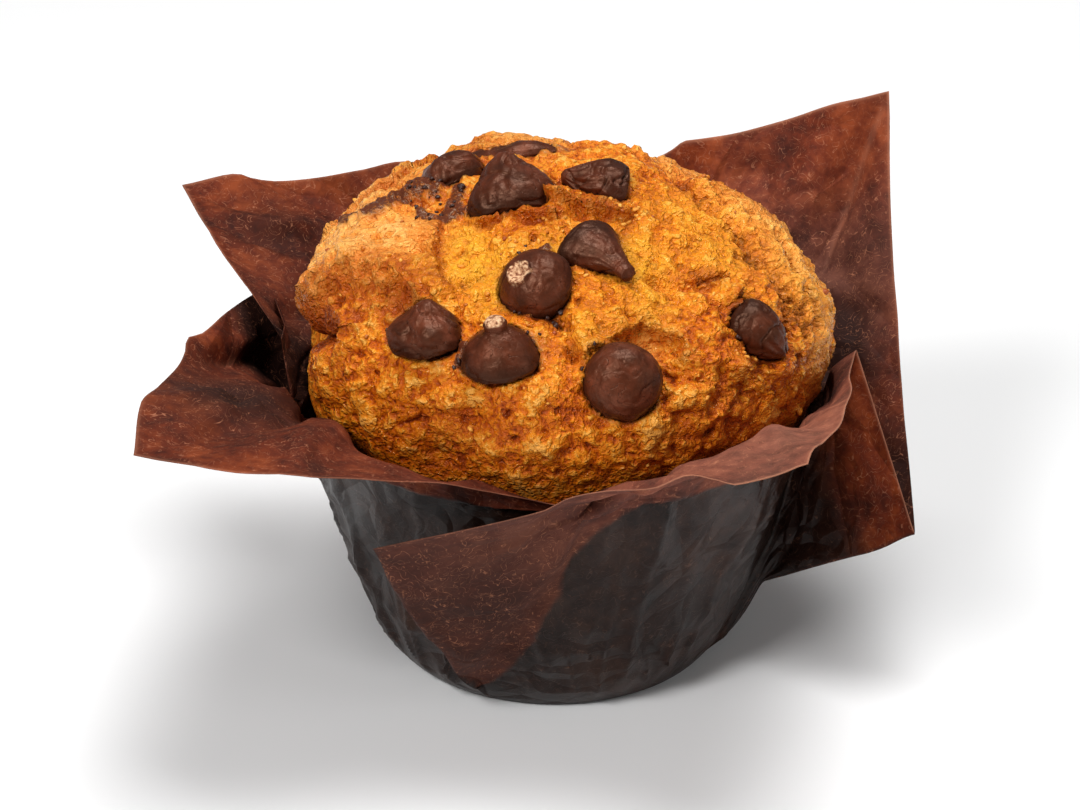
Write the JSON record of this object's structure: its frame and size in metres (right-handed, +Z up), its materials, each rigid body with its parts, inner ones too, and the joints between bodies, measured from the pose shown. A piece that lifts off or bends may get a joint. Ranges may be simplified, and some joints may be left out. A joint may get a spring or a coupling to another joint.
{
  "type": "chocolate chip muffin",
  "caption": "Domed muffin with chocolate chips in its golden crust, standing in a pleated cup folded from one square of brown baking paper with free corners.",
  "frame": {"origin": "centre of the paper case's flat base, on the surface it stands on", "axes": "+Z up; -Y towards the side whose paper corner folds across the front; +X towards the tall free corner's side"},
  "size_m": [0.1213, 0.1173, 0.0834],
  "materials": {
    "crust": "coarse baked crumb, golden to toasted brown",
    "baking_paper": "matt brown greaseproof paper, darker where grease has soaked in",
    "chocolate": "satin milk chocolate"
  },
  "bodies": {
    "root": {"muffin": "crust", "paper_case": "baking_paper", "chip_01": "chocolate", "chip_02": "chocolate", "chip_03": "chocolate", "chip_04": "chocolate", "chip_05": "chocolate", "chip_06": "chocolate", "chip_07": "chocolate", "chip_08": "chocolate", "chip_09": "chocolate", "chip_10": "chocolate", "chip_11": "chocolate", "chip_12": "chocolate", "chip_13": "chocolate", "chip_14": "chocolate"}
  },
  "joints": []
}
